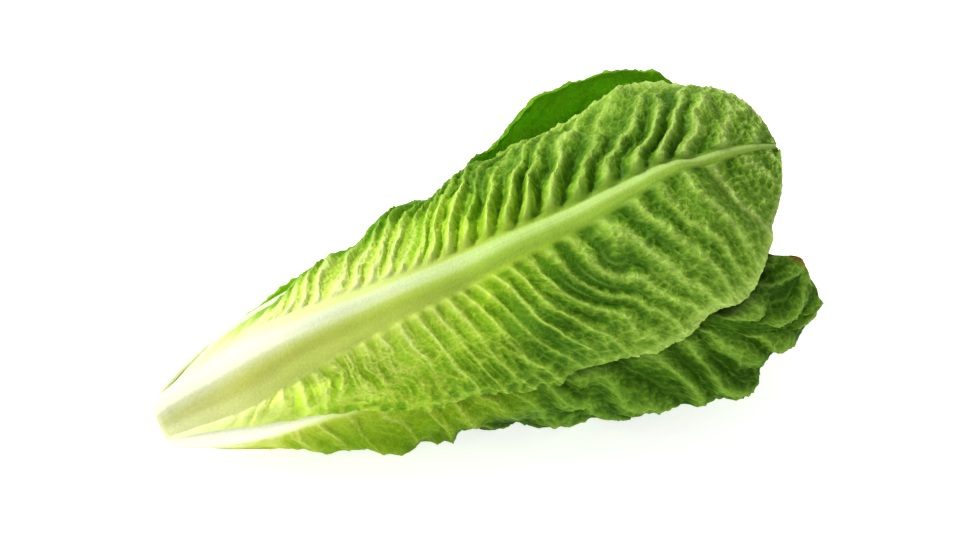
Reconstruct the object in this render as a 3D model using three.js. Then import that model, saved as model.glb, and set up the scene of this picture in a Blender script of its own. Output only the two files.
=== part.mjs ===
// A romaine lettuce head lying on its side: a stem core with its leaves wrapped round it in a spiral.
//
// Lengths are millimetres. +Z is up and the head lies on z = 0. Its axis leaves the cut end of the stem
// towards +X and rises a little, because the leafy end is the thick one. In the head's own frame a point
// has a distance u along the axis, a radius r from it, and an angle round it: 0 at the top, 90 at the
// front (-Y), 180 at the bottom.
//
// Each leaf is a sheet that hugs whatever lies under it. The leaves are laid from the heart outwards,
// and a field over (angle, u) holds the radius already taken, so no leaf passes through another.

import * as THREE from "three";

const HEAD_LENGTH = 300;
const TABLE_DROP = 20; // axis to table at the cut end
const TABLE_SLOPE = 0.205; // further drop per millimetre along the axis
const GOLDEN_ANGLE = 137.5;
const BLADE = 0.95; // thickness of a leaf's blade
const BASE_BLADE = 0.5; // extra thickness of its wings at the foot
const CORE_GAP = 0.9; // clearance between leaves at the foot
const BLADE_GAP = 1.5; // clearance between leaves along the blades
const CONTACT_DEPTH = 1.6; // depth of the flats that the table presses into the lowest ridges

// Outer envelope of the closed head: radius against distance along the axis.
const ENVELOPE = [[0, 9], [10, 14], [25, 21.5], [45, 29], [75, 36.5], [110, 42], [150, 47.5], [185, 57], [215, 63],
  [240, 65], [265, 61], [285, 53], [300, 43]];
const CORE = [[0, 6], [3, 7.2], [14, 8.5], [34, 7], [50, 4], [58, 1.5]];
const CORE_END = 58;
const CUT_SLANT = { side: 0.2, rise: -0.2 }; // how the cut face leans, over the first millimetres of the head
const CUT_DEPTH = 25;
// Half width of the midrib, its thickness and the leaf's half width, as shares, against share of length.
const RIB_WIDTH = [[0, 0.66], [0.1, 1], [0.22, 0.8], [0.5, 0.48], [0.76, 0.26], [0.93, 0.13], [1, 0.08]];
const RIB_THICK = [[0, 0.32], [0.07, 0.62], [0.15, 1], [0.3, 0.85], [0.55, 0.55], [0.8, 0.28], [1, 0.16]];
const WIDEST = 0.76; // where along its length a leaf is widest
const VEIN_TURN = 0.7; // the share of the side veins that end below the widest point
const TIP_ROUND = 0.8; // below 1, the tip is blunter than an ellipse
const SPREAD = [[0, 0], [0.12, 0.16], [0.3, 0.43], [0.55, 0.77], [0.8, 0.95], [1, 1]];
const VEIN_SLANT = [0.45, 0.95]; // how far a side vein runs forward for each millimetre outward, foot and tip
const VEIN_BEND = 1.2;

const clamp01 = (x) => Math.min(1, Math.max(0, x));
const rise = (from, to, x) => {
  const t = clamp01((x - from) / (to - from));
  return t * t * (3 - 2 * t);
};
const softMax = (a, b, k) => (a + b + Math.hypot(a - b, k)) / 2;
const softMin = (a, b, k) => (a + b - Math.hypot(a - b, k)) / 2;
const radians = THREE.MathUtils.degToRad;

/** A smooth curve through [x, y] points. */
function curve(points, x) {
  const last = points.length - 1;
  if (x <= points[0][0]) return points[0][1];
  if (x >= points[last][0]) return points[last][1];
  let i = 0;
  while (x > points[i + 1][0]) i++;
  const slope = (k) => {
    const before = points[Math.max(k - 1, 0)];
    const after = points[Math.min(k + 1, last)];
    return (after[1] - before[1]) / (after[0] - before[0]);
  };
  const step = points[i + 1][0] - points[i][0];
  const t = (x - points[i][0]) / step;
  const blend = t * t * (3 - 2 * t);
  const y = points[i][1] * (1 - blend) + points[i + 1][1] * blend;
  return y + step * t * (1 - t) * (slope(i) * (1 - t) - slope(i + 1) * t);
}

// ---- The leaves, from the outermost inwards ----------------------------------------------------
//
// A pair of values is for the two sides of the midrib. The blade can flare off the head, taper towards its
// tip, be slimmer at the waist, and have its margin set back near the tip.

const OUTER = [
  {
    angle: 38, lean: -2, droop: -3, length: 293, width: [75, 71], share: 1.0, tip: 8, flare: [0, 8],
    flareSpan: [0.08, 0.25, 0.8, 1], waist: [0.16, 0], back: [0, 30], lobe: 1.5, green: "#7fae2c",
  },
  {
    angle: -99, lean: 0, droop: 0, length: 296, width: [64, 64], share: 0.98, tip: 0, flare: [2, 19],
    flareSpan: [0.41, 0.71, 0.86, 1], lobe: 1.5, green: "#4f8a1c",
  },
  {
    angle: 77, lean: 0, droop: 40, length: 292, width: [78, 76], share: 0.93, tip: 17, flare: [3, 12],
    flareSpan: [0.45, 0.64, 0.74, 0.92], taper: [0.34, 0.6], lobe: 2.5, green: "#5a8f20",
  },
  {
    angle: -22, lean: 0, droop: 0, length: 280, width: [66, 66], share: 0.9, tip: 8, flare: [3, 0],
    flareSpan: [0.4, 0.7, 0.9, 1.3], lobe: 1.5, green: "#6fa229",
  },
  {
    angle: -158, lean: 0, droop: 0, length: 280, width: [70, 70], share: 0.87, tip: 2, flare: [5, 3],
    flareSpan: [0.4, 0.7, 0.9, 1.3], lobe: 2.5, green: "#639a24",
  },
  {
    angle: 66, lean: 0, droop: 0, length: 262, width: [64, 64], share: 0.82, tip: 0, flare: [0, 4],
    flareSpan: [0.4, 0.7, 0.9, 1.3], lobe: 1.5, green: "#74a62c",
  },
];
const HEART_COUNT = 5;

function heartLeaf(i) {
  const depth = (i + 1) / HEART_COUNT;
  const wobble = Math.sin(i * 2.4 + 0.7);
  return {
    angle: OUTER[OUTER.length - 1].angle - GOLDEN_ANGLE * (i + 1) + 7 * wobble,
    lean: 8 * wobble,
    droop: 0,
    length: 262 - 56 * depth + 5 * wobble,
    width: [66 - 30 * depth, 66 - 30 * depth],
    share: 0.78 - 0.6 * depth,
    flare: [2 + 2 * wobble, 2 - 2 * wobble],
    flareSpan: [0.4, 0.7, 0.9, 1.3],
    lobe: 1.5,
    tip: -12 + 6 * depth,
    green: new THREE.Color("#8dbb3a").lerp(new THREE.Color("#dfe28a"), depth),
  };
}

const LEAVES = [...OUTER, ...Array.from({ length: HEART_COUNT }, (_, i) => heartLeaf(i))];
LEAVES.forEach((leaf, i) => {
  leaf.name = "leaf_" + String(i + 1).padStart(2, "0");
  leaf.outer = i < OUTER.length;
  leaf.start = 3.2 * Math.max(i - 2, 0);
  leaf.rib = 14.5 * (1 - 0.05 * i);
  leaf.ribThick = 6.2 * (1 - 0.05 * i);
  leaf.veins = [30, 16, 18][i] ?? (leaf.outer ? 12 : 7);
  leaf.waves = 6 + (i % 3);
  leaf.waveShift = 1.7 * i;
  leaf.ruffle = leaf.outer ? 3.4 : 2;
  leaf.crease = [2.6, 2.4, 2.8][i] ?? (leaf.outer ? 1.9 : 1.1);
  leaf.taper ??= [0, 0];
  leaf.waist ??= [0, 0];
  leaf.back ??= [0, 0];
});

/** Where the vein numbered s (0 at the foot, 1 at the tip) meets the midrib and the margin. */
function vein(leaf, s, side) {
  const foot = leaf.rib * RIB_WIDTH[0][1] + 1;
  const a = clamp01((s - VEIN_TURN) / (1 - VEIN_TURN)) * (Math.PI / 2);
  const below = s < VEIN_TURN;
  const along = leaf.length * (below ? (s / VEIN_TURN) * WIDEST : WIDEST + (1 - WIDEST) * Math.sin(a));
  const spread = below ? curve(SPREAD, s / VEIN_TURN) : Math.cos(a) ** TIP_ROUND;
  const halfOf = (width) => width * spread + (below ? foot * (1 - spread) : 0);
  const which = side > 0 ? 1 : 0;
  const half = halfOf(leaf.width[which]);
  const slant = VEIN_SLANT[0] + (VEIN_SLANT[1] - VEIN_SLANT[0]) * s;
  const root = along - slant * (halfOf((leaf.width[0] + leaf.width[1]) / 2) - foot * (1 - s));
  const lobes = leaf.lobe * Math.sin(2 * Math.PI * leaf.waves * s + leaf.waveShift + 2 * side)
    * rise(0.15, 0.35, s) * (1 - rise(0.84, 0.98, s));
  const taper = leaf.taper[which] * rise(0.55, 0.88, s);
  const waist = leaf.waist[which] * rise(0.1, 0.25, s) * (1 - rise(0.35, 0.6, s));
  const back = leaf.back[which] * spread * rise(0.65, 0.9, s);
  return {
    root,
    along: along - back + 0.5 * lobes * rise(0.5, 0.9, s),
    half: half * (1 - taper - waist) + lobes,
  };
}

/** A point of the leaf's flat outline: across the leaf (signed) and along it. `across` runs from -1 to 1. */
function flatPoint(leaf, s, across) {
  const side = Math.sign(across);
  const v = vein(leaf, s, side);
  const share = Math.abs(across);
  const ribShare = 0.2; // the part of `across` that lies on the midrib
  const rib = Math.min(leaf.rib * curve(RIB_WIDTH, v.root / leaf.length), v.half * 0.85);
  const q = share < ribShare
    ? rib * (share / ribShare)
    : rib + (v.half - rib) * ((share - ribShare) / (1 - ribShare));
  const reach = v.half > 0 ? q / v.half : 0;
  return {
    q: side * q,
    along: v.root + (v.along - v.root) * Math.pow(reach, VEIN_BEND),
    blade: clamp01((q - rib) / Math.max(v.half - rib, 1e-6)),
    onRib: clamp01(1 - q / rib),
    side,
    s,
  };
}

/** Free radius of the leaf, where nothing under it lifts it. */
function freeRadius(leaf, u, p) {
  const end = leaf.start + leaf.length;
  const open = leaf.share * curve(ENVELOPE, (u * HEAD_LENGTH) / end);
  const flare = leaf.flare[p.side > 0 ? 1 : 0];
  const [from, full, fade, to] = leaf.flareSpan;
  const span = rise(from, full, p.s) * (1 - rise(fade, to, p.s));
  return open + flare * rise(0.2, 1, p.blade) * span + leaf.tip * rise(0.62, 1, u / end);
}

/** Folds along the side veins and waves of the margin, as a lift off the sheet below. */
function relief(leaf, p) {
  const phase = leaf.veins * p.s + (p.side > 0 ? 0.5 : 0);
  const fold = (1 + Math.cos(2 * Math.PI * phase)) / 2;
  const creased = leaf.crease * rise(0, 0.2, p.blade) * (1 - 0.45 * p.blade) * rise(0.03, 0.2, p.s)
    * (1 - 0.6 * rise(0.8, 1, p.s));
  const wave = (1 + Math.sin(2 * Math.PI * leaf.waves * p.s + leaf.waveShift + 2 * p.side)) / 2;
  const waved = leaf.ruffle * Math.pow(p.blade, 2.5) * rise(0.08, 0.3, p.s);
  return fold * creased + wave * waved;
}

function thickness(leaf, p) {
  const blade = BLADE + BASE_BLADE * (1 - rise(0, 0.25, p.s));
  const rib = leaf.ribThick * curve(RIB_THICK, p.s);
  const dome = Math.pow(1 - Math.pow(1 - p.onRib, 2), 0.8);
  return blade + Math.max(rib - blade, 0) * dome;
}

// ---- The field of taken radii -------------------------------------------------------------------

const FIELD_ANGLES = 144;
const FIELD_STEPS = 110;
const FIELD_PITCH = 3; // millimetres along the axis

const fieldOf = (value) => {
  const field = new Float64Array(FIELD_ANGLES * FIELD_STEPS);
  for (let j = 0; j < FIELD_STEPS; j++)
    for (let i = 0; i < FIELD_ANGLES; i++) field[j * FIELD_ANGLES + i] = value(i, j);
  return field;
};
const cell = (field, i, j) => {
  const row = Math.min(Math.max(j, 0), FIELD_STEPS - 1);
  return field[row * FIELD_ANGLES + ((i % FIELD_ANGLES) + FIELD_ANGLES) % FIELD_ANGLES];
};

function sample(field, angle, u) {
  const a = (angle / 360) * FIELD_ANGLES;
  const b = u / FIELD_PITCH;
  const i = Math.floor(a);
  const j = Math.floor(b);
  const low = cell(field, i, j) * (1 - a + i) + cell(field, i + 1, j) * (a - i);
  const high = cell(field, i, j + 1) * (1 - a + i) + cell(field, i + 1, j + 1) * (a - i);
  return low * (1 - b + j) + high * (b - j);
}

/** The field with each cell pooled from those within `wide` angles and `long` steps of it. */
function pooled(field, wide, long, pool) {
  return fieldOf((i, j) => {
    const near = [];
    for (let di = -wide; di <= wide; di++)
      for (let dj = -long; dj <= long; dj++) near.push(cell(field, i + di, j + dj));
    return pool(near);
  });
}
const highest = (values) => Math.max(...values);
const mean = (values) => values.reduce((sum, x) => sum + x, 0) / values.length;

/** A smooth surface over the field: its bumps above the mean profile are widened, then smoothed as far. */
function cover(field) {
  const profile = Array.from({ length: FIELD_STEPS }, (_, j) =>
    mean(Array.from({ length: FIELD_ANGLES }, (_, i) => cell(field, i, j))));
  const bumps = fieldOf((i, j) => cell(field, i, j) - profile[j]);
  const smooth = pooled(pooled(pooled(bumps, 3, 2, highest), 2, 1, mean), 1, 1, mean);
  return fieldOf((i, j) => cell(smooth, i, j) + profile[j]);
}

/** The leaf's point in the head's cylinder frame, on its inner face, over the covered field. */
function place(leaf, covered, s, across) {
  const p = flatPoint(leaf, s, across);
  const u = leaf.start + p.along;
  const gap = CORE_GAP + (BLADE_GAP - CORE_GAP) * rise(15, 80, u);
  const run = u / HEAD_LENGTH;
  const axis = leaf.angle + leaf.lean * (run - 0.5) + leaf.droop * rise(0.6, 1, run);
  const atRib = softMax(sample(covered, axis, u) + gap, freeRadius(leaf, u, { ...p, blade: 0 }), 2);
  const turn = Math.min(THREE.MathUtils.radToDeg(Math.abs(p.q) / atRib), 115);
  const angle = axis + p.side * turn;
  const under = softMax(sample(covered, angle, u) + gap, freeRadius(leaf, u, p), 2);
  const inner = under + relief(leaf, p);
  return { u, angle, inner, outer: inner + thickness(leaf, p) };
}

/** Marks the radii that the leaf takes. */
function lay(leaf, covered, field) {
  const rows = 130;
  const columns = 60;
  for (let row = 0; row <= rows; row++)
    for (let column = -columns; column <= columns; column++) {
      const at = place(leaf, covered, row / rows, column / columns);
      const i = Math.round((at.angle / 360) * FIELD_ANGLES);
      const j = Math.round(at.u / FIELD_PITCH);
      if (j >= FIELD_STEPS) continue;
      const index = j * FIELD_ANGLES + ((i % FIELD_ANGLES) + FIELD_ANGLES) % FIELD_ANGLES;
      field[index] = Math.max(field[index], at.outer);
    }
}

const taken = fieldOf((i, j) => (j * FIELD_PITCH <= CORE_END ? curve(CORE, j * FIELD_PITCH) : 0));
const coverUnder = new Map();
for (const leaf of [...LEAVES].reverse()) {
  const covered = cover(taken);
  coverUnder.set(leaf, covered);
  lay(leaf, covered, taken);
}
const outside = cover(taken);

// ---- Solids -------------------------------------------------------------------------------------

/** Head frame to x, y, z, with the underside flattened where the head lies on the table. */
function headPoint(angle, u, r) {
  const a = radians(angle);
  const down = -Math.cos(a);
  const drop = TABLE_DROP + TABLE_SLOPE * u;
  const limit = down > 0.05 ? drop / down / sample(outside, angle, u) : 20;
  const squeezed = r * softMin(1, limit, 0.05);
  const y = -squeezed * Math.sin(a);
  const z = squeezed * Math.cos(a);
  const slant = 1 - rise(0, CUT_DEPTH, u);
  return new THREE.Vector3(u + slant * (CUT_SLANT.side * y + CUT_SLANT.rise * z), y, z);
}

const tilt = Math.atan(TABLE_SLOPE);
const heightOver = (p) => (p.z + TABLE_DROP + TABLE_SLOPE * p.x) * Math.cos(tilt);

function leafGeometry(leaf) {
  const rows = 2 * leaf.veins;
  const shares = leaf.outer ? [0, 0.07, 0.14, 0.2, 0.34, 0.5, 0.66, 0.83, 1] : [0, 0.2, 0.45, 0.72, 1];
  const columns = [...shares.slice(1).reverse().map((x) => -x), ...shares];
  const covered = coverUnder.get(leaf);
  const faces = { outer: [], inner: [] };
  const vertices = [];
  const add = (at, face) => vertices.push(headPoint(at.angle, at.u, at[face])) - 1;
  for (const face of ["outer", "inner"]) {
    for (let row = 0; row < rows; row++)
      faces[face].push(columns.map((across) => add(place(leaf, covered, row / rows, across), face)));
    faces[face].push(add(place(leaf, covered, 1, 0), face));
  }
  const index = [];
  const quad = (a, b, c, d, flip) => index.push(...(flip ? [a, d, b, b, d, c] : [a, c, b, a, d, c]));
  const last = columns.length - 1;
  const mid = last / 2;
  const { outer, inner } = faces;
  for (let row = 0; row < rows - 1; row++) {
    for (let c = 0; c < last; c++) {
      quad(outer[row][c], outer[row + 1][c], outer[row + 1][c + 1], outer[row][c + 1], c >= mid);
      quad(inner[row][c + 1], inner[row + 1][c + 1], inner[row + 1][c], inner[row][c], c < mid);
    }
    quad(outer[row + 1][0], outer[row][0], inner[row][0], inner[row + 1][0], false);
    quad(outer[row][last], outer[row + 1][last], inner[row + 1][last], inner[row][last], false);
  }
  const top = rows - 1;
  const [outerTip, innerTip] = [outer[rows], inner[rows]];
  for (let c = 0; c < last; c++) {
    quad(outer[0][c], outer[0][c + 1], inner[0][c + 1], inner[0][c], false);
    index.push(outer[top][c], outer[top][c + 1], outerTip, inner[top][c + 1], inner[top][c], innerTip);
  }
  quad(outerTip, outer[top][0], inner[top][0], innerTip, false);
  quad(outer[top][last], outerTip, innerTip, inner[top][last], false);
  return { vertices, index };
}

function coreGeometry() {
  const sides = 24;
  const steps = 10;
  const vertices = [headPoint(0, 0, 0)];
  for (let step = 0; step <= steps; step++) {
    const u = (CORE_END * step) / steps;
    for (let i = 0; i < sides; i++) vertices.push(headPoint((360 * i) / sides, u, curve(CORE, u)));
  }
  const end = vertices.push(headPoint(0, CORE_END + 1, 0)) - 1;
  const at = (step, i) => 1 + step * sides + (i % sides);
  const index = [];
  for (let i = 0; i < sides; i++) {
    index.push(0, at(0, i + 1), at(0, i), end, at(steps, i), at(steps, i + 1));
    for (let step = 0; step < steps; step++) {
      index.push(at(step, i), at(step, i + 1), at(step + 1, i));
      index.push(at(step, i + 1), at(step + 1, i + 1), at(step + 1, i));
    }
  }
  return { vertices, index };
}

const head = new THREE.Group();

function addSolid(name, color, roughness, { vertices, index }) {
  const geometry = new THREE.BufferGeometry().setFromPoints(vertices);
  geometry.setIndex(index);
  geometry.computeVertexNormals();
  const mesh = new THREE.Mesh(geometry, new THREE.MeshStandardMaterial({ color, roughness, metalness: 0 }));
  mesh.name = name;
  head.add(mesh);
}

const solids = LEAVES.map((leaf) => ({ leaf, ...leafGeometry(leaf) }));
const lowest = Math.min(...solids.flatMap((solid) => solid.vertices.map(heightOver)));
const upward = new THREE.Vector3(Math.sin(tilt), 0, Math.cos(tilt));

for (const { leaf, vertices, index } of solids) {
  const faceSize = vertices.length / 2; // the outer face's points come first, then the inner face's
  for (let i = 0; i < faceSize; i++) {
    const below = lowest + CONTACT_DEPTH - heightOver(vertices[i]);
    if (below <= 0) continue;
    vertices[i].addScaledVector(upward, below);
    vertices[faceSize + i].addScaledVector(upward, below);
  }
  addSolid(leaf.name, leaf.green, 0.55, { vertices, index });
}
addSolid("stem_core", "#e9e6bd", 0.6, coreGeometry());

head.rotation.y = -tilt;
const lettuce = new THREE.Group();
lettuce.add(head);

// The part's origin is under the middle of its bounding box, on the table.
const bounds = new THREE.Box3().setFromObject(lettuce, true);
const middle = bounds.getCenter(new THREE.Vector3());
head.position.set(-middle.x, -middle.y, -bounds.min.z);

export default lettuce;
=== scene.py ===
# The looks of a romaine lettuce head that lies on its side.
#
# Every leaf is made again as a fine mesh from the formulas that the solids use, so it keeps their form, and
# gets what is too small for them: veins, puckers, crinkled margins, a cut face and leaf-like materials.
# Lengths are millimetres until a mesh is made, which turns them into metres.

import math

import bpy
import numpy as np
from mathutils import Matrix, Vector


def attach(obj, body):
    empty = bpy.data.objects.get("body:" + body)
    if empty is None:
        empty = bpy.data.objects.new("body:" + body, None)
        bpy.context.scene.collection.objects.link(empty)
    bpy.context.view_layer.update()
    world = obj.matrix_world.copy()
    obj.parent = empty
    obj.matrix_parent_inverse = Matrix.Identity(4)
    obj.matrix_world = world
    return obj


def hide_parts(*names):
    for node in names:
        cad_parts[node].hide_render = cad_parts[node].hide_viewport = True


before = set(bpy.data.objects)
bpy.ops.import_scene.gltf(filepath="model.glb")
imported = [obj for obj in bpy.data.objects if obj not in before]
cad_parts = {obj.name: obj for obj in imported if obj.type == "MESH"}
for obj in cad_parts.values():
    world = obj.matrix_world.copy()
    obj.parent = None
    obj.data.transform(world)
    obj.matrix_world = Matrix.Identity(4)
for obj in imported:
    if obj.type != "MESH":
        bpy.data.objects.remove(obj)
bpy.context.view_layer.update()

# ---- The head's form: the same values as the solids have ----------------------------------------

HEAD_LENGTH = 300
TABLE_DROP = 20  # from the axis to the table at the cut end
TABLE_SLOPE = 0.205  # further drop for each millimetre along the axis
GOLDEN_ANGLE = 137.5
BLADE = 0.95  # thickness of a leaf's blade
BASE_BLADE = 0.5  # extra thickness at its foot
CORE_GAP = 0.9  # between leaves at the foot
BLADE_GAP = 1.5  # between leaves along the blades
HEAD_PLACE = np.array([-143.0811, 4.4752, 17.6555])  # of the axis at the cut end

# Radius of the closed head and of its core against the distance along the axis.
ENVELOPE = [[0, 9], [10, 14], [25, 21.5], [45, 29], [75, 36.5], [110, 42], [150, 47.5], [185, 57],
            [215, 63], [240, 65], [265, 61], [285, 53], [300, 43]]
CORE = [[0, 6], [3, 7.2], [14, 8.5], [34, 7], [50, 4], [58, 1.5]]
CORE_END = 58

# How the cut face leans to the side and up, and over what length of the head that fades.
CUT_SLANT_SIDE = 0.2
CUT_SLANT_RISE = -0.2
CUT_DEPTH = 25

# Shares of the midrib's half width and thickness against the share of the leaf's length.
RIB_WIDTH = [[0, 0.66], [0.1, 1], [0.22, 0.8], [0.5, 0.48], [0.76, 0.26], [0.93, 0.13], [1, 0.08]]
RIB_THICK = [[0, 0.32], [0.07, 0.62], [0.15, 1], [0.3, 0.85], [0.55, 0.55], [0.8, 0.28], [1, 0.16]]
RIB_SHARE = 0.2  # the part of `across` that lies on the midrib
WIDEST = 0.76  # where along its length a leaf is widest

# Share of the leaf's half width, from the foot to the widest point, against the share of the veins there.
SPREAD = [[0, 0], [0.12, 0.16], [0.3, 0.43], [0.55, 0.77], [0.8, 0.95], [1, 1]]
VEIN_SLANT = [0.45, 0.95]  # how far a side vein runs forward for each millimetre outward, foot and tip
VEIN_BEND = 1.2
VEIN_TURN = 0.7  # the share of the side veins that end below the widest point
TIP_ROUND = 0.8  # below 1, the tip is blunter than an ellipse
MOST_WRAP = 115  # degrees that a side of a leaf may reach round the head
LIFT_BLEND = 2  # how softly a leaf goes over from its free radius to what lies under it

# How far down a point must lie from the axis for the table to press it in, and how softly that begins.
LEAST_DOWN = 0.05
TABLE_BLEND = 0.05
UNPRESSED = 20

# The outer leaves. Angles go round the head from its top towards the front. A pair of values is for the two
# sides of the midrib, first the side with the smaller angles and then the side with the greater ones.
OUTER = [
    dict(angle=38, lean=-2, droop=-3, length=293, width=[75, 71], share=1.0, tip=8, flare=[0, 8],
         flare_span=[0.08, 0.25, 0.8, 1], waist=[0.16, 0], back=[0, 30], lobe=1.5, veins=30, crease=2.6),
    dict(angle=-99, lean=0, droop=0, length=296, width=[64, 64], share=0.98, tip=0, flare=[2, 19],
         flare_span=[0.41, 0.71, 0.86, 1], lobe=1.5, veins=16, crease=2.4),
    dict(angle=77, lean=0, droop=40, length=292, width=[78, 76], share=0.93, tip=17, flare=[3, 12],
         flare_span=[0.45, 0.64, 0.74, 0.92], taper=[0.34, 0.6], lobe=2.5, veins=18, crease=2.8),
    dict(angle=-22, lean=0, droop=0, length=280, width=[66, 66], share=0.9, tip=8, flare=[3, 0],
         flare_span=[0.4, 0.7, 0.9, 1.3], lobe=1.5, veins=12, crease=1.9),
    dict(angle=-158, lean=0, droop=0, length=280, width=[70, 70], share=0.87, tip=2, flare=[5, 3],
         flare_span=[0.4, 0.7, 0.9, 1.3], lobe=2.5, veins=12, crease=1.9),
    dict(angle=66, lean=0, droop=0, length=262, width=[64, 64], share=0.82, tip=0, flare=[0, 4],
         flare_span=[0.4, 0.7, 0.9, 1.3], lobe=1.5, veins=12, crease=1.9),
]
HEART_COUNT = 5

# The numbers of the leaves that differ most in looks: the large front leaf, the dark one that stands up
# behind it, and the one that the head lies on.
FRONT, BACK, LOWEST = 0, 1, 2

SEED = 7

# The field of taken radii: cells round the head and steps along its axis.
FIELD_ANGLES = 144
FIELD_STEPS = 110
FIELD_PITCH = 3


def heart_leaf(i):
    depth = (i + 1) / HEART_COUNT
    wobble = math.sin(i * 2.4 + 0.7)
    return dict(angle=OUTER[-1]["angle"] - GOLDEN_ANGLE * (i + 1) + 7 * wobble, lean=8 * wobble, droop=0,
                length=262 - 56 * depth + 5 * wobble, width=[66 - 30 * depth] * 2, share=0.78 - 0.6 * depth,
                flare=[2 + 2 * wobble, 2 - 2 * wobble], flare_span=[0.4, 0.7, 0.9, 1.3],
                lobe=1.5, tip=-12 + 6 * depth, veins=7, crease=1.1)


LEAVES = OUTER + [heart_leaf(i) for i in range(HEART_COUNT)]
for number, leaf in enumerate(LEAVES):
    leaf.update({key: leaf.get(key, [0, 0]) for key in ("taper", "waist", "back")})
    leaf["name"] = f"leaf_{number + 1:02d}"
    leaf["number"] = number
    leaf["outer"] = number < len(OUTER)
    leaf["start"] = 3.2 * max(number - 2, 0)
    leaf["rib"] = 14.5 * (1 - 0.05 * number)
    leaf["rib_thick"] = 6.2 * (1 - 0.05 * number)
    leaf["waves"] = 6 + number % 3
    leaf["wave_shift"] = 1.7 * number
    leaf["ruffle"] = 3.4 if leaf["outer"] else 2
    leaf["crimp"] = 1.6 if number in (FRONT, LOWEST) else 2.6
    leaf["smooth_tip"] = 0.85 if number in (FRONT, BACK) else 0.4
    leaf["seed"] = SEED + 31 * number


def rise(low, high, x):
    t = np.clip((x - low) / (high - low), 0, 1)
    return t * t * (3 - 2 * t)


def window(low, full, fade, end, x):
    """0 up to low, 1 from full to fade and 0 again from end on, with smooth steps between."""
    return rise(low, full, x) * (1 - rise(fade, end, x))


def soft_max(a, b, k):
    return (a + b + np.hypot(a - b, k)) / 2


def soft_min(a, b, k):
    return (a + b - np.hypot(a - b, k)) / 2


def curve(points, x):
    """A smooth curve through [x, y] points."""
    px, py = np.array(points, float).T
    slope = np.empty_like(px)
    slope[1:-1] = (py[2:] - py[:-2]) / (px[2:] - px[:-2])
    slope[0] = (py[1] - py[0]) / (px[1] - px[0])
    slope[-1] = (py[-1] - py[-2]) / (px[-1] - px[-2])
    x = np.clip(np.asarray(x, float), px[0], px[-1])
    i = np.clip(np.searchsorted(px, x, side="left") - 1, 0, len(px) - 2)
    step = px[i + 1] - px[i]
    t = (x - px[i]) / step
    blend = t * t * (3 - 2 * t)
    y = py[i] * (1 - blend) + py[i + 1] * blend
    return y + step * t * (1 - t) * (slope[i] * (1 - t) - slope[i + 1] * t)


def on_side(pair, side):
    """The value of a pair for the side of the midrib."""
    return np.where(side > 0, pair[1], pair[0])


def vein(leaf, s, side):
    """Where the vein numbered s, 0 at the foot and 1 at the tip, meets the midrib and the margin."""
    foot = leaf["rib"] * RIB_WIDTH[0][1] + 1
    a = np.clip((s - VEIN_TURN) / (1 - VEIN_TURN), 0, 1) * (math.pi / 2)
    below = s < VEIN_TURN
    along = leaf["length"] * np.where(below, s / VEIN_TURN * WIDEST, WIDEST + (1 - WIDEST) * np.sin(a))
    spread = np.where(below, curve(SPREAD, s / VEIN_TURN), np.cos(a) ** TIP_ROUND)
    extra = np.where(below, foot * (1 - spread), 0)
    half = on_side(leaf["width"], side) * spread + extra
    slant = VEIN_SLANT[0] + (VEIN_SLANT[1] - VEIN_SLANT[0]) * s
    root = along - slant * (sum(leaf["width"]) / 2 * spread + extra - foot * (1 - s))
    lobes = (leaf["lobe"] * np.sin(2 * math.pi * leaf["waves"] * s + leaf["wave_shift"] + 2 * side)
             * window(0.15, 0.35, 0.84, 0.98, s))
    taper = on_side(leaf["taper"], side) * rise(0.55, 0.88, s)
    waist = on_side(leaf["waist"], side) * window(0.1, 0.25, 0.35, 0.6, s)
    back = on_side(leaf["back"], side) * spread * rise(0.65, 0.9, s)
    return root, along - back + 0.5 * lobes * rise(0.5, 0.9, s), half * (1 - taper - waist) + lobes


def flat_point(leaf, s, across):
    """A point of the leaf's flat outline. `across` runs from -1 to 1."""
    side = np.sign(across)
    root, along, half = vein(leaf, s, side)
    share = np.abs(across)
    rib = np.minimum(leaf["rib"] * curve(RIB_WIDTH, root / leaf["length"]), half * 0.85)
    q = np.where(share < RIB_SHARE, rib * share / RIB_SHARE,
                 rib + (half - rib) * (share - RIB_SHARE) / (1 - RIB_SHARE))
    reach = np.clip(q / np.maximum(half, 1e-9), 0, None)
    return dict(q=side * q, along=root + (along - root) * reach ** VEIN_BEND, side=side, s=s,
                blade=np.clip((q - rib) / np.maximum(half - rib, 1e-6), 0, 1),
                on_rib=np.clip(1 - q / rib, 0, 1), off_rib=q / rib)


def free_radius(leaf, u, p, blade):
    end = leaf["start"] + leaf["length"]
    closed = leaf["share"] * curve(ENVELOPE, u * HEAD_LENGTH / end)
    flare = on_side(leaf["flare"], p["side"]) * rise(0.2, 1, blade) * window(*leaf["flare_span"], p["s"])
    return closed + flare + leaf["tip"] * rise(0.62, 1, u / end)


def margin_wave(leaf, p):
    wave = (1 + np.sin(2 * math.pi * leaf["waves"] * p["s"] + leaf["wave_shift"] + 2 * p["side"])) / 2
    return wave * leaf["ruffle"] * p["blade"] ** 2.5 * rise(0.08, 0.3, p["s"])


def relief(leaf, p):
    """The folds and waves that the solids have."""
    phase = leaf["veins"] * p["s"] + np.where(p["side"] > 0, 0.5, 0)
    fold = (1 + np.cos(2 * math.pi * phase)) / 2
    creased = (leaf["crease"] * rise(0, 0.2, p["blade"]) * (1 - 0.45 * p["blade"])
               * rise(0.03, 0.2, p["s"]) * (1 - 0.6 * rise(0.8, 1, p["s"])))
    return fold * creased + margin_wave(leaf, p)


def ribbed(leaf, p, rib_share):
    """The leaf's thickness: the blade, raised towards the midrib's thickness by a share."""
    blade = BLADE + BASE_BLADE * (1 - rise(0, 0.25, p["s"]))
    rib = leaf["rib_thick"] * curve(RIB_THICK, p["s"])
    return blade + np.maximum(rib - blade, 0) * rib_share


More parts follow.
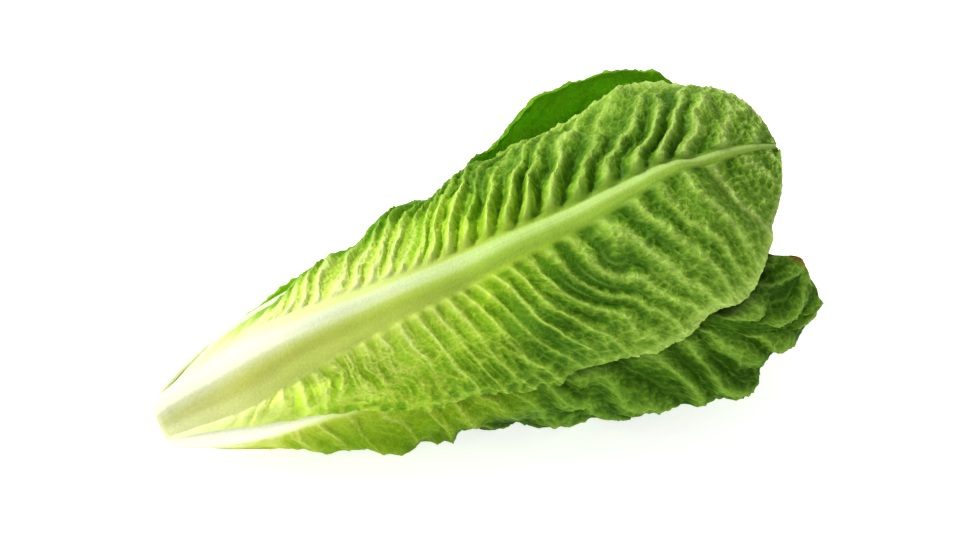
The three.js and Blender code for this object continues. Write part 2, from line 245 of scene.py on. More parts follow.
def thickness(leaf, p):
    return ribbed(leaf, p, (1 - (1 - p["on_rib"]) ** 2) ** 0.8)


def sample(field, angle, u):
    a = angle / 360 * FIELD_ANGLES
    b = u / FIELD_PITCH
    i = np.floor(a).astype(int)
    j = np.floor(b).astype(int)
    i0, i1 = i % FIELD_ANGLES, (i + 1) % FIELD_ANGLES
    j0, j1 = np.clip(j, 0, FIELD_STEPS - 1), np.clip(j + 1, 0, FIELD_STEPS - 1)
    low = field[j0, i0] * (1 - a + i) + field[j0, i1] * (a - i)
    high = field[j1, i0] * (1 - a + i) + field[j1, i1] * (a - i)
    return low * (1 - b + j) + high * (b - j)


def pooled(field, wide, long, pool):
    """The field with each cell pooled from those within `wide` angles and `long` steps of it."""
    padded = np.pad(np.pad(field, ((long, long), (0, 0)), mode="edge"), ((0, 0), (wide, wide)), mode="wrap")
    near = [padded[dj:dj + FIELD_STEPS, di:di + FIELD_ANGLES]
            for di in range(2 * wide + 1) for dj in range(2 * long + 1)]
    return pool(near, axis=0)


def cover(field):
    """A smooth surface over the field: its bumps above the mean profile are widened, then smoothed."""
    profile = field.mean(axis=1, keepdims=True)
    widened = pooled(field - profile, 3, 2, np.max)
    return pooled(pooled(widened, 2, 1, np.mean), 1, 1, np.mean) + profile


def place(leaf, covered, s, across):
    """The leaf's point in the head's cylinder frame, on its inner face, over the covered field."""
    p = flat_point(leaf, s, across)
    u = leaf["start"] + p["along"]
    gap = CORE_GAP + (BLADE_GAP - CORE_GAP) * rise(15, 80, u)
    run = u / HEAD_LENGTH
    axis = leaf["angle"] + leaf["lean"] * (run - 0.5) + leaf["droop"] * rise(0.6, 1, run)
    free = free_radius(leaf, u, p, np.zeros_like(u))
    at_rib = soft_max(sample(covered, axis, u) + gap, free, LIFT_BLEND)
    turn = np.minimum(np.degrees(np.abs(p["q"]) / at_rib), MOST_WRAP)
    angle = axis + p["side"] * turn
    free = free_radius(leaf, u, p, p["blade"])
    under = soft_max(sample(covered, angle, u) + gap, free, LIFT_BLEND)
    inner = under + relief(leaf, p)
    return dict(p, u=u, angle=angle, inner=inner, outer=inner + thickness(leaf, p))


def lay(leaf, covered, field):
    """Marks the radii and the cells that the leaf takes."""
    s, across = np.meshgrid(np.arange(131) / 130, np.arange(-60, 61) / 60, indexing="ij")
    at = place(leaf, covered, s, across)
    i = np.floor(at["angle"] / 360 * FIELD_ANGLES + 0.5).astype(int) % FIELD_ANGLES
    j = np.floor(at["u"] / FIELD_PITCH + 0.5).astype(int)
    keep = j < FIELD_STEPS
    np.maximum.at(field, (j[keep], i[keep]), at["outer"][keep])
    leaf["cells"] = np.zeros_like(field)
    leaf["cells"][j[keep], i[keep]] = 1


# The leaves are laid from the heart outwards, each over the cover of what is taken. Then each gets a map of
# the leaves that lie over it.
steps = np.arange(FIELD_STEPS) * FIELD_PITCH
taken = np.repeat(np.where(steps <= CORE_END, curve(CORE, steps), 0)[:, None], FIELD_ANGLES, axis=1)
for leaf in reversed(LEAVES):
    leaf["covered"] = cover(taken)
    lay(leaf, leaf["covered"], taken)
OUTSIDE = cover(taken)
above = np.zeros_like(taken)
for leaf in LEAVES:
    leaf["above"] = above
    above = np.maximum(above, leaf["cells"])


def head_point(angle, u, r):
    """Head frame to the part's frame, with the underside flattened where the head lies on the table."""
    a = np.radians(angle)
    down = -np.cos(a)
    drop = TABLE_DROP + TABLE_SLOPE * u
    pressed = drop / np.maximum(down, LEAST_DOWN) / np.maximum(sample(OUTSIDE, angle, u), 1)
    squeezed = r * soft_min(1, np.where(down > LEAST_DOWN, pressed, UNPRESSED), TABLE_BLEND)
    y = -squeezed * np.sin(a)
    z = squeezed * np.cos(a)
    slant = 1 - rise(0, CUT_DEPTH, u)
    x = u + slant * (CUT_SLANT_SIDE * y + CUT_SLANT_RISE * z)
    tilt = math.atan(TABLE_SLOPE)
    forward = x * math.cos(tilt) - z * math.sin(tilt)
    up = x * math.sin(tilt) + z * math.cos(tilt)
    return np.stack([forward, y, up], -1) + HEAD_PLACE


# ---- The fine relief, in millimetres along the surface -------------------------------------------

TIP_SHARE = 0.998  # the mesh ends just short of the leaf's tip, where the sides would meet in one point
RIB_COLUMNS = 8

# Rows along the leaf and columns on each side of the midrib, both even.
OUTER_MESH = [(480, 70), (300, 54), (360, 66), (260, 50), (280, 54), (220, 44)]
HEART_MESH = (160, 32)

# Lengths along the margin and depths of its teeth and bights. The last one is a share of the half width.
LONG_TOOTH, LONG_TOOTH_DEPTH = 11, 2.2
SHORT_TOOTH, SHORT_TOOTH_DEPTH = 4, 0.9
BIGHT, BIGHT_DEPTH = 28, 10
LOWER_MARGIN_CUT = 7
MOST_CUT = 0.2

# Lengths, widths and heights of the relief's forms, and how far it may go below the smooth leaf.
CRIMP_LENGTH = 8.5
HOLLOW_DEPTH = 2.2
LESSER_VEIN_WIDTH = 0.6
VEIN_HEIGHT = 0.5
LONG_VEIN_HEIGHT = 0.4
WIDE_BAY_DEPTH = 1.2
SMALL_BAY_DEPTH = 0.6
BUMP_HEIGHT = 2.2
FRONT_PUCKER_HEIGHT = 6.5
LOWEST_PUCKER_HEIGHT = 5
STREAK_HEIGHT = 0.16
DEEPEST = -0.9

# Numbers that scatter the bits of a whole number.
SCATTER_I, SCATTER_J, SCATTER_SEED = 374761393, 668265263, 1274126177
SCATTER_FIRST, SCATTER_LAST = 1103515245, 2654435761
ALL_BITS = 0xFFFFFFFF
LOW_BITS = 0xFFFFFF


def hashed(i, j, seed):
    """A steady pseudo-random number from 0 to 1 for each pair of whole numbers."""
    n = i.astype(np.int64) * SCATTER_I + j.astype(np.int64) * SCATTER_J + seed * SCATTER_SEED
    n = n & ALL_BITS
    n = ((n ^ (n >> 13)) * SCATTER_FIRST) & ALL_BITS
    n = ((n ^ (n >> 15)) * SCATTER_LAST) & ALL_BITS
    return ((n ^ (n >> 16)) & LOW_BITS) / LOW_BITS


def noise(x, y, seed):
    """Smooth value noise from 0 to 1, with cells of size 1."""
    i, j = np.floor(x), np.floor(y)
    a, b = x - i, y - j
    a, b = a * a * (3 - 2 * a), b * b * (3 - 2 * b)
    low = hashed(i, j, seed) * (1 - a) + hashed(i + 1, j, seed) * a
    high = hashed(i, j + 1, seed) * (1 - a) + hashed(i + 1, j + 1, seed) * a
    return low * (1 - b) + high * b


def bays(x, y, seed, border=0.55):
    """0 on the borders between scattered cells of size 1, rising to 1 inside each cell."""
    i, j = np.floor(x), np.floor(y)
    first = np.full(x.shape, np.inf)
    second = np.full(x.shape, np.inf)
    for di in (-1, 0, 1):
        for dj in (-1, 0, 1):
            px = i + di + 0.1 + 0.8 * hashed(i + di, j + dj, seed)
            py = j + dj + 0.1 + 0.8 * hashed(i + di, j + dj, seed + 1)
            away = np.hypot(px - x, py - y)
            second = np.where(away < first, first, np.minimum(second, away))
            first = np.minimum(first, away)
    return rise(0, border, second - first)


def calm_tip(leaf, s):
    """How strong the margin's teeth and crimps are: weaker near the leaf's tip."""
    return 1 - leaf["smooth_tip"] * rise(0.6, 0.75, s)


def crinkled(leaf, s, across):
    """`across` with the small teeth and bights of the leaf's margin."""
    side = np.sign(across)
    seed = leaf["seed"]
    half = vein(leaf, s, side)[2]
    run = s * leaf["length"]
    teeth = ((noise(run / LONG_TOOTH, 40 * side, seed) - 0.5) * LONG_TOOTH_DEPTH
             + (noise(run / SHORT_TOOTH, 40 * side, seed + 1) - 0.5) * SHORT_TOOTH_DEPTH)
    if leaf["number"] == LOWEST:
        bights = (noise(run / BIGHT, 40 * side, seed + 2) - 0.62) * BIGHT_DEPTH
        teeth = teeth + (bights - np.where(side > 0, LOWER_MARGIN_CUT, 0)) * rise(0.5, 0.65, s)
    keep = rise(0.1, 0.3, s) * calm_tip(leaf, s)
    cut = np.clip(teeth * keep / np.maximum(half, 6), -MOST_CUT, MOST_CUT)
    return across * (1 + cut * np.abs(across) ** 5)


def veined(leaf, at):
    """The leaf's points, with how the side veins run there. A whole phase is a vein on a fold's crest."""
    seed = leaf["seed"]
    s, blade, side, q, along = at["s"], at["blade"], at["side"], at["q"], at["along"]
    wander = noise(along / 21, q / 24, seed) + 0.7 * noise(along / 9, q / 12, seed + 1) - 0.85
    uneven = noise(leaf["veins"] * s * 0.45, 3 * side, seed + 14) - 0.5
    long_veins = 0.3
    swing = 0
    puckered = np.zeros(s.shape)
    if leaf["number"] == FRONT:
        long_veins = np.where(side > 0, 1 - rise(0.5, 0.72, s), 1 - rise(0.3, 0.5, s))
        swing = np.where(side > 0, 0.05, -0.03) * (1 - rise(0.5, 0.75, s))
        puckered = np.where(side > 0, window(0.06, 0.16, 0.3, 0.46, s), 0) * rise(0.12, 0.35, blade)
    bent = np.where(side < 0, 0.8, 0.75 - 0.4 * long_veins) * wander * rise(0.02, 0.3, blade)
    knotted = 1.1 * (noise(along / 12, q / 10, seed + 15) - 0.5) * puckered
    phase = leaf["veins"] * (s + swing * blade) + np.where(side > 0, 0.5, 0) + 0.7 * uneven + bent + knotted
    start = 0.06 + np.where(side > 0, 0.24, 0.1) * (1 - rise(0.15, 0.4, s))
    return dict(at, phase=phase, wander=wander, long_veins=long_veins, puckered=puckered,
                spacing=1.05 * leaf["length"] / leaf["veins"], started=rise(0, 1, blade / start),
                grown=rise(0.03, 0.2, s))


def folds(leaf, p):
    """The form of the folds, 1 on a crest and 0 in a narrow valley, and their height."""
    s, blade = p["s"], p["blade"]
    fold = 0.4 * (1 + np.cos(2 * math.pi * p["phase"])) / 2 + 0.6 * np.abs(np.cos(math.pi * p["phase"]))
    swell = 0.2 + 1.7 * noise(p["along"] / 24, p["q"] / 20, leaf["seed"] + 2)
    flat_tip = 0.6
    if leaf["number"] == FRONT:
        swell = swell * np.where(p["side"] < 0, 0.6 + rise(0.46, 0.62, s) - rise(0.84, 0.95, s),
                                 0.9 - 0.15 * rise(0.6, 0.8, s))
    if leaf["number"] == LOWEST:
        swell = swell * (1 + 0.5 * rise(0.4, 0.6, s))
        flat_tip = 0.2
    flatter_out = (1 - 0.35 * blade) * (1 - 0.8 * rise(0.6, 1, blade)) * (1 - flat_tip * rise(0.85, 1, s))
    return fold, leaf["crease"] * swell * p["started"] * p["grown"] * flatter_out


def margin_crimps(leaf, p):
    """Small crimps on the waves of the margin."""
    s, blade = p["s"], p["blade"]
    crimp = noise(s * leaf["length"] / CRIMP_LENGTH, 9 * p["side"] + blade, leaf["seed"] + 3) - 0.5
    return leaf["crimp"] * crimp * blade ** 3.5 * rise(0.06, 0.25, s) * calm_tip(leaf, s)


def hollows(leaf, p):
    """Where the blade sinks deeply between a few of the side veins, from 0 to 1."""
    s, blade = p["s"], p["blade"]
    hollow = rise(0.58, 0.8, noise(p["phase"] * 0.55, p["q"] / 26 + 0.3 * p["wander"], leaf["seed"] + 12))
    if leaf["number"] == FRONT:
        slit = 0.8 * window(0.48, 0.56, 0.74, 0.82, s) * (1 - rise(0.35, 0.6, blade))
        hollow = hollow * np.where(p["side"] < 0, window(0.35, 0.5, 0.86, 0.94, s),
                                   np.maximum(0.35 * rise(0.15, 0.3, blade), slit))
    return hollow * window(0.03, 0.14, 0.7, 0.95, blade) * p["grown"]


def side_veins(leaf, p):
    """The side veins on the crests, with a lesser one between them, from 0 to 1."""
    seed = leaf["seed"]
    s, blade, side, q, along = p["s"], p["blade"], p["side"], p["q"], p["along"]
    off = np.abs((p["phase"] + 0.5) % 1 - 0.5) * p["spacing"]
    half_off = np.abs(p["phase"] % 1 - 0.5) * p["spacing"]
    fading = 0.4 * (1 - p["long_veins"]) * rise(0.3, 1, blade) + 0.3 * p["long_veins"] * rise(0.7, 1, blade)
    broad = 1.0 - 0.4 * blade + 0.6 * rise(0.6, 0.75, s)
    if leaf["number"] == FRONT:
        fading = fading * (1 - 0.7 * rise(0.6, 0.75, s))
        broad = broad + np.where(side < 0, 1.8, 0) * (1 - rise(0.45, 0.65, s))
    main = np.exp(-(off / broad) ** 2) * p["started"] * (1 - fading) * (1 - 0.4 * p["puckered"])
    main = main * (0.5 + 0.5 * noise(s * leaf["veins"], 5 * side, seed + 10))
    lesser = np.exp(-(half_off / LESSER_VEIN_WIDTH) ** 2) * rise(0.05, 0.3, blade)
    return np.maximum(main, 0.5 * lesser * noise(along / 14, q / 14, seed + 9)) * p["grown"]


def puckers(leaf, p):
    """The wide and the small bays of blade that sink between the veins, and the relief of the puckers.

    Near the midrib the wide bays are long and lie along the side veins, and further out they are round.
    """
    seed = leaf["seed"]
    s, blade, q, along = p["s"], p["blade"], p["q"], p["along"]
    wander, long_veins = p["wander"], p["long_veins"]
    lengthways = bays(p["phase"] * p["spacing"] / 5 + 0.3 * wander, q / 15 + 0.3 * wander, seed + 4)
    even = bays(along / 7 + 0.5 * wander, q / 7 + 0.4 * wander, seed + 11)
    wide = lengthways + (even - lengthways) * rise(0.2 + 0.45 * long_veins, 0.45 + 0.5 * long_veins, blade)
    small = bays(along / 4 + 0.5 * wander, q / 4 + 0.5 * wander, seed + 5, 0.3)
    shown = rise(0.01, 0.1 - 0.05 * rise(0.4, 0.6, s), blade) * rise(0.04, 0.3, s)
    if leaf["number"] == LOWEST:
        shown = np.maximum(shown, rise(0.4, 0.6, s))
    wide = wide * (1 - 0.5 * rise(0.5, 0.75, s)) * shown
    small = small * shown
    bumps = BUMP_HEIGHT * (noise(along / 8, q / 8, seed + 7) - 0.5) * shown
    if leaf["number"] == FRONT:
        knobs = noise(along / 11, q / 8 + 0.4 * wander, seed + 13) - 0.5
        bumps = bumps + FRONT_PUCKER_HEIGHT * knobs * p["puckered"]
    if leaf["number"] == LOWEST:
        knobs = noise(along / 15, q / 11 + 0.4 * wander, seed + 13) - 0.5
        bumps = bumps + LOWEST_PUCKER_HEIGHT * knobs * shown
    wide_depth = WIDE_BAY_DEPTH * (0.3 + noise(along / 26, q / 26, seed + 6))
    small_depth = SMALL_BAY_DEPTH + 0.25 * rise(0.5, 0.7, s)
    return wide, small, bumps - wide_depth * wide - small_depth * small


def fine_relief(leaf, at, covered_share):
    """The whole relief of the outer face over the smooth leaf, and the marks that the colours use."""
    p = veined(leaf, at)
    fold, crease = folds(leaf, p)
    hollow = hollows(leaf, p)
    ridge = side_veins(leaf, p)
    wide, small, puckering = puckers(leaf, p)
    fine = margin_wave(leaf, p) + margin_crimps(leaf, p) + puckering
    fine = fine + (VEIN_HEIGHT + LONG_VEIN_HEIGHT * p["long_veins"]) * ridge
    height = fold * crease - HOLLOW_DEPTH * hollow + (1 - 0.75 * covered_share) * fine
    height = np.maximum(height, DEEPEST) * (1 - 0.5 * covered_share)
    streaks = STREAK_HEIGHT * (noise(p["q"] / 0.9, p["along"] / 60, leaf["seed"] + 8) - 0.5)
    height = height + streaks * (1 - rise(0, 0.08, p["blade"])) * rise(0, 0.05, p["s"])
    return height, dict(fold=fold, ridge=ridge, wide=wide, small=small, crease=crease, hollow=hollow,
                        puckered=p["puckered"])


# ---- Colours -------------------------------------------------------------------------------------

# Stops along the leaf from foot to tip, for crests, valleys darkened with painted shade, raised veins, the
# midrib, its shaded side and the inner face, partly its own bright green and partly painted light through
# the leaf, then crests and valleys of dark leaves and of heart leaves.
LIGHT = [[0, "#dfe6b0"], [0.08, "#ccdc74"], [0.18, "#bed060"], [0.4, "#a8c834"], [0.62, "#8cb22e"],
         [0.82, "#82a832"], [1, "#88ae3e"]]
DARK = [[0, "#d3dc98"], [0.08, "#c0d450"], [0.18, "#a8ca2e"], [0.4, "#76a80e"], [0.62, "#3a6800"],
        [0.82, "#366200"], [1, "#406e08"]]
RIDGE = [[0, "#eaeed4"], [0.2, "#e0eca2"], [0.45, "#cce474"], [0.7, "#b6d664"], [1, "#bcd678"]]
RIB = [[0, "#c0c2b0"], [0.15, "#c8ccb8"], [0.35, "#c4d09c"], [0.55, "#aac66c"], [0.8, "#a8c668"],
       [1, "#a0c060"]]
RIB_SHADE = [[0, "#b4b87c"], [0.12, "#acb254"], [0.35, "#a6ba44"], [0.55, "#8aac36"], [1, "#8cac40"]]
INNER = [[0, "#dfe8b4"], [0.12, "#b8d44c"], [0.3, "#a0d62c"], [0.55, "#90d41c"], [1, "#84cc18"]]
DEEP_LIGHT = [[0, "#e4e8b8"], [0.12, "#cedb62"], [0.3, "#a4c036"], [0.42, "#769a22"], [0.55, "#729c2c"],
              [1, "#76a030"]]
DEEP_DARK = [[0, "#c9d48a"], [0.12, "#b0c43a"], [0.3, "#7aa414"], [0.55, "#294c04"], [1, "#224400"]]
HEART_LIGHT = [[0, "#f1f1d4"], [0.25, "#e9ecac"], [0.6, "#d8e27c"], [1, "#b8d250"]]
HEART_DARK = [[0, "#e6e7bc"], [0.25, "#d2d97c"], [0.6, "#abc246"], [1, "#82a92c"]]

# Stops across the cut face from its centre, and the place of the tint that a leaf's cut foot has.
CUT = [[0, "#dfe0b2"], [0.55, "#e9e8c4"], [0.8, "#d9d49a"], [1, "#cdb98a"]]
CUT_FOOT = 0.7

# How far each outer leaf's greens go to the deep ones.
DEEP = [0, 0.55, 1, 0.35, 0.5, 0.2]

WHITE_FOOT = np.array([0.89, 0.91, 0.76])
GREEN_MARGIN_FILTER = np.array([0.56, 0.72, 0.25])
BURNT_FILTER = np.array([1.1, 0.55, 0.6])
BURNT_RED = np.array([0.12, 0, 0])
VESSEL_FILTER = np.array([0.86, 0.84, 0.62])


def ramp(stops, t):
    """The sRGB colour at t along the stops."""
    at = [x for x, _ in stops]
    rgb = [[int(colour[i:i + 2], 16) / 255 for i in (1, 3, 5)] for _, colour in stops]
    return np.stack([np.interp(t, at, channel) for channel in zip(*rgb)], -1)


def mixed(a, b, share):
    return a + (b - a) * np.asarray(np.clip(share, 0, 1))[..., None]


def scaled(colour, factor):
    return colour * factor[..., None]


def linear(rgb):
    rgb = np.clip(rgb, 0, 1)
    return np.where(rgb <= 0.04045, rgb / 12.92, ((rgb + 0.055) / 1.055) ** 2.4)


def valley_share(leaf, at, marks, run, t, blotch):
    """How much of the dark tint shows: painted shade, most in valleys, bays and hollows, and blotches of
    uneven tone.
    """
    share = 0.8 * (1 - marks["fold"]) ** 1.4 * np.clip(marks["crease"] / 2, 0, 1)
    if leaf["number"] == FRONT:
        share = share * np.where(at["side"] < 0, 0.5 + 0.5 * rise(0.4, 0.65, run), 1)
    if leaf["number"] == LOWEST:
        share = share + 0.45 * rise(0, 0.2, at["on_rib"]) * rise(0.35, 0.6, run)
    # Painted shade in the crease where the blade meets the midrib.
    shade_beside_rib = (1 - rise(0.01, 0.08, at["blade"])) * rise(0.3, 0.5, t)
    sunk = 0.5 * marks["wide"] + 0.35 * marks["small"] + 0.6 * marks["hollow"]
    # Painted shade on the puckers: darker inside their sinking bays, lighter between them.
    knobs = 0.3 - 0.4 * rise(0.12, 0.32, at["s"]) + 1.2 * (marks["wide"] - 0.5)
    return share + 0.3 * shade_beside_rib + sunk + 0.5 * blotch - 0.15 + knobs * marks["puckered"]


def rib_look(leaf, at, run, light, deep):
    """The midrib's colours and how much of them shows, with painted shade on the front rib's lower side and
    painted light at the lowest rib's foot.
    """
    line = rise(0.02, 0.25, at["on_rib"])
    lit = 1
    if leaf["number"] == FRONT:
        near_foot = 1 - rise(0.3, 0.5, run)
        line = rise(0, 1, (at["on_rib"] - 0.02 - 0.08 * near_foot) / (0.23 + 0.2 * near_foot))
        lit = rise(0.35, -0.25, at["side"] * (1 - at["on_rib"]))
    tint = mixed(ramp(RIB_SHADE, run), ramp(RIB, run), lit)
    tint = mixed(tint, light, deep * (0.2 + 0.75 * rise(0.3, 0.7, run)))
    tint = scaled(tint, 0.94 + 0.06 * noise(at["q"] / 0.8, at["along"] / 45, leaf["seed"] + 18))
    if leaf["number"] == LOWEST:
        line = line * (1 - 0.85 * rise(0.3, 0.6, run))
        # Painted light: the rib is brighter near the foot, where little light reaches it.
        tint = scaled(tint, 1 + 0.15 * (1 - rise(0.2, 0.4, run)))
    return tint, line


def front_leaf_tints(leaf, at, outer, run, t, rib_line):
    """The front leaf with a pale margin near the tip, a green one above, a white foot and painted shade
    beside the rib.
    """
    s, blade = at["s"], at["blade"]
    upper = np.where(at["side"] < 0, 1, 0)
    outer = mixed(outer, ramp(RIDGE, t), 0.6 * rise(0.9, 0.98, blade) * rise(0.5, 0.7, s))
    green = upper * rise(0.4, 0.75, blade) * window(0.06, 0.24, 0.45, 0.65, s)
    green = green * (0.5 + 0.6 * noise(at["along"] / 15, at["q"] / 15, leaf["seed"] + 23))
    outer = mixed(outer, outer * GREEN_MARGIN_FILTER, green)
    outer = mixed(outer, WHITE_FOOT, 0.5 * upper * (1 - rise(0.12, 0.3, run)) * (1 - green))
    # Painted shade on the blade right beside the midrib.
    shade_beside_rib = (1 - rise(0.02, 0.14, blade)) * (1 - rib_line) * rise(0.3, 0.45, run)
    return scaled(outer, 1 - 0.12 * shade_beside_rib)


def lowest_leaf_tints(leaf, at, outer, run, rib_line):
    """The lowest leaf, a little darker at the foot and brown at the margin near its tip."""
    outer = scaled(outer, 1 - 0.07 * (1 - rise(0.35, 0.55, run)) * (1 - rib_line))
    burnt = rise(0.94, 0.985, at["blade"]) * rise(0.62, 0.72, at["s"]) * np.where(at["side"] < 0, 1, 0.4)
    burnt = burnt * rise(0.25, 0.5, noise(at["along"] / 14, at["q"] * 0, leaf["seed"] + 22))
    return mixed(outer, outer * BURNT_FILTER + BURNT_RED, 0.7 * burnt)


def shadow_share(leaf, marks, run):
    """How much painted shadow darkens the blade under and beside the leaves that cover it."""
    shadow = 0.4 * marks["shaded"]
    if leaf["number"] == LOWEST:
        shadow = shadow + 0.5 * rise(0, 0.6, marks["shaded"]) * rise(0.5, 0.7, run)
        shadow = shadow + 0.3 * rise(0.3, 0.6, marks["shaded"]) * rise(0.2, 0.35, run)
        shadow = np.minimum(shadow, 0.78)
    return shadow


def leaf_colours(leaf, at, marks):
    """The colours of the outer and the inner face, in sRGB."""
    s, blade, side, along = at["s"], at["blade"], at["side"], at["along"]
    front = leaf["number"] == FRONT
    run = np.clip(along / leaf["length"], 0, 1)
    blotch = noise(along / 34, at["q"] / 26, leaf["seed"] + 17) - 0.5

    # The place along the stops: slower near the foot, and further on towards the margin.
    pale_foot = np.where(front & (side > 0), 0.52, 0.42)
    t = run * (pale_foot + (1 - pale_foot) * rise(0.2, 0.7, run))
    t = np.clip(t + 0.24 * blade * window(0.02, 0.2, 0.5, 0.9, run) + 0.1 * blotch, 0, 1)
    deep = DEEP[leaf["number"]] if leaf["outer"] else 0
    heart = 0 if leaf["outer"] else min(1.4 * (leaf["number"] - len(OUTER) + 1) / HEART_COUNT, 1)
    light = mixed(mixed(ramp(LIGHT, t), ramp(DEEP_LIGHT, t), deep), ramp(HEART_LIGHT, t), heart)
    dark = mixed(mixed(ramp(DARK, t), ramp(DEEP_DARK, t), deep), ramp(HEART_DARK, t), heart)

    outer = mixed(light, dark, valley_share(leaf, at, marks, run, t, blotch))
    vein_colour = mixed(ramp(RIDGE, t), light, 0.6 * deep)
    if front:
        vein_colour = mixed(vein_colour, light, np.where(side > 0, 0.6, 0) * (1 - rise(0.3, 0.45, s)))
    outer = mixed(outer, vein_colour, 0.9 * marks["ridge"])
    rib, rib_line = rib_look(leaf, at, run, light, deep)
    near_rib = np.where(side < 0, 0.35, 0.6) * (1 - rise(0, 0.14, blade)) * (1 - rise(0.3, 0.5, run))
    outer = mixed(outer, rib, np.maximum(rib_line, near_rib))
    if front:
        outer = front_leaf_tints(leaf, at, outer, run, t, rib_line)
    if leaf["number"] == LOWEST:
        outer = lowest_leaf_tints(leaf, at, outer, run, rib_line)
    outer = scaled(outer, 1 - shadow_share(leaf, marks, run))

    # Painted light: the inner face's bright green stands partly for light that shines through the thin
    # leaf.
    inner = mixed(ramp(INNER, t), light, heart)
    inner = mixed(inner, ramp(HEART_LIGHT, t), 0.6 * heart)
    inner = mixed(inner, inner * 1.25, 0.45 * marks["ridge"] + 0.2 * (1 - marks["wide"]))
    inner = mixed(inner, inner * 0.85, rise(0.8, 1, blade))
    inner = mixed(inner, ramp(RIB, run) * 0.97, 0.8 * rib_line)
    foot = 1 - rise(0, 3.5, along)
    return mixed(outer, ramp(CUT, CUT_FOOT), 0.5 * foot), mixed(inner, ramp(CUT, CUT_FOOT), 0.5 * foot)


# ---- Meshes --------------------------------------------------------------------------------------

EDGE_THICK = 0.38
BLADE_THICK = 0.6
FLOOR_CLEAR = 0.02
SHARP = math.radians(62)
MM_PER_METRE = 1000
PATTERN_STEP = 400  # sets the skin's pattern on each leaf apart from the next leaf's


def make_piece(name, node, points, faces, colours, coords, material, flat_map):
    """A mesh piece from points in millimetres, riding on the body and standing for its CAD node."""
    mesh = bpy.data.meshes.new(name)
    starts = []
    loops = []
    total = 0
    for group in faces:
        group = np.asarray(group)
        starts.append(total + np.arange(len(group)) * group.shape[1])
        loops.append(group.ravel())
        total += group.size
    starts = np.concatenate(starts).astype(np.int32)
    loops = np.concatenate(loops).astype(np.int32)
    points = np.asarray(points, float) / MM_PER_METRE
    mesh.vertices.add(len(points))
    mesh.vertices.foreach_set("co", points.astype(np.float32).ravel())
    mesh.loops.add(len(loops))
    mesh.loops.foreach_set("vertex_index", loops)
    mesh.polygons.add(len(starts))
    mesh.polygons.foreach_set("loop_start", starts)
    mesh.update(calc_edges=True)
    mesh.validate()
    mesh.polygons.foreach_set("use_smooth", np.ones(len(starts), bool))
    mesh.set_sharp_from_angle(angle=SHARP)
    rgba = np.ones((len(points), 4), np.float32)
    rgba[:, :3] = linear(colours)
    tint = mesh.color_attributes.new("tint", "FLOAT_COLOR", "POINT")
    tint.data.foreach_set("color", rgba.ravel())
    place_mm = mesh.attributes.new("leaf_place", "FLOAT_VECTOR", "POINT")
    place_mm.data.foreach_set("vector", np.asarray(coords, np.float32).ravel())
    uv = mesh.uv_layers.new(name="OFBake")
    uv.data.foreach_set("uv", np.asarray(flat_map, np.float32)[loops].ravel())
    mesh.materials.append(material)
    piece = bpy.data.objects.new(name, mesh)
    bpy.context.collection.objects.link(piece)
    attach(piece, "root")
    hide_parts(node)
    return piece


def signed_volume(points, quads):
    a, b, c, d = (points[quads[:, k]] for k in range(4))
    return (np.sum(a * np.cross(b, c)) + np.sum(a * np.cross(c, d))) / 6


def rim(rows, columns):
    """The border of a grid of points, once round, as row and column numbers."""
    down, right = np.arange(rows), np.arange(columns)
    up, left = np.arange(rows, 0, -1), np.arange(columns, 0, -1)
    i = np.concatenate([0 * right, down, np.full(columns, rows), up])
    j = np.concatenate([right, np.full(rows, columns), left, 0 * up])
    return i, j


def grid_faces(rows, columns, first):
    i, j = np.meshgrid(np.arange(rows), np.arange(columns), indexing="ij")
    a = first + i * (columns + 1) + j
    return np.stack([a, a + 1, a + columns + 2, a + columns + 1], -1).reshape(-1, 4)


def soft_rib(leaf, at):
    """The leaf's thickness with a midrib that runs out softly into the blade and is finer to the tip."""
    run_out = 0.76 - 0.1 * rise(0.5, 0.8, at["along"] / leaf["length"])
    return ribbed(leaf, at, np.exp(-(at["off_rib"] / run_out) ** 3))


def lowest_near(grid):
    """The lowest value at each grid point and the eight round it, so that a coarser face stays below."""
    padded = np.pad(grid, 1, mode="edge")
    rows, columns = grid.shape
    return np.min([padded[i:i + rows, j:j + columns] for i in range(3) for j in range(3)], axis=0)


def both_faces(outer, inner):
    """Rows for the points of the outer face, then for those of the inner one, which has every second."""
    width = outer.shape[-1]
    return np.concatenate([outer.reshape(-1, width), inner[::2, ::2].reshape(-1, width)])


def leaf_faces(rows, columns):
    """The quads of the outer and the inner face, and the triangles between their borders."""
    count = (rows + 1) * (columns + 1)
    outer = grid_faces(rows, columns, 0)
    inner = grid_faces(rows // 2, columns // 2, count)[:, ::-1]
    i, j = rim(rows, columns)
    fine = i * (columns + 1) + j
    i, j = rim(rows // 2, columns // 2)
    coarse = count + i * (columns // 2 + 1) + j
    a, b = coarse, np.roll(coarse, -1)
    p, q, r = fine[0::2], fine[1::2], np.roll(fine, -2)[0::2]
    wall = np.concatenate([np.stack([q, p, a], -1), np.stack([q, a, b], -1), np.stack([r, q, b], -1)])
    return outer, inner, wall


